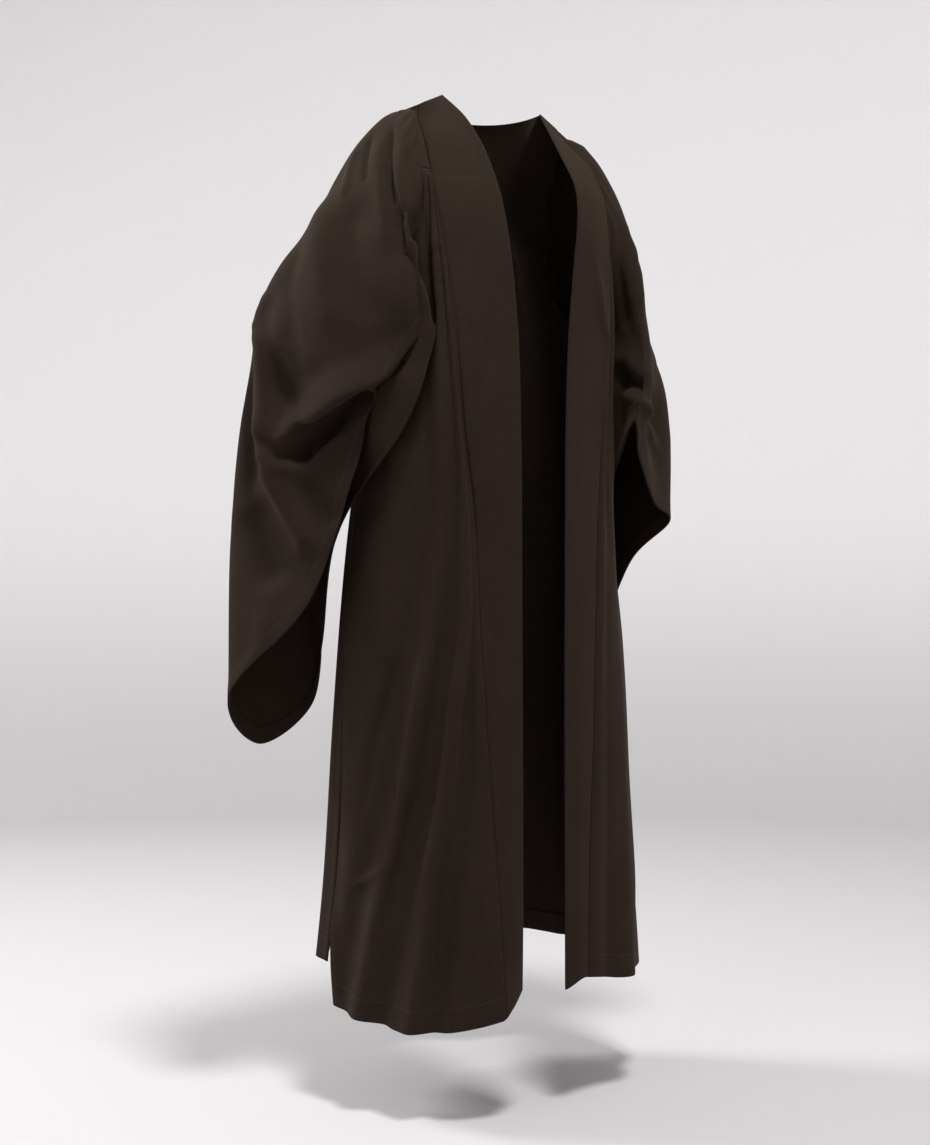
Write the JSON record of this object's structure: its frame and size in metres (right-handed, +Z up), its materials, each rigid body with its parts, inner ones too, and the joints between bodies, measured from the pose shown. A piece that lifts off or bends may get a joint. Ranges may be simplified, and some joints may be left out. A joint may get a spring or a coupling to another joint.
{
  "type": "graduation gown",
  "caption": "Open-front academic gown with a yoke, wide front bands and full bell sleeves, standing hollow in the pose it is worn in.",
  "frame": {"origin": "midway between the two high shoulder points at the neck edge, where a wearer's shoulders hold the gown", "axes": "+X to the wearer's left, +Y towards the back, +Z up; the open front faces -Y"},
  "size_m": [0.6919, 0.3908, 1.2945],
  "materials": {
    "gown_cloth": "matte"
  },
  "bodies": {
    "root": {"yoke": "gown_cloth", "back": "gown_cloth", "front_right": "gown_cloth", "front_left": "gown_cloth", "band_right": "gown_cloth", "band_left": "gown_cloth", "sleeve_right": "gown_cloth", "sleeve_left": "gown_cloth"}
  },
  "joints": []
}
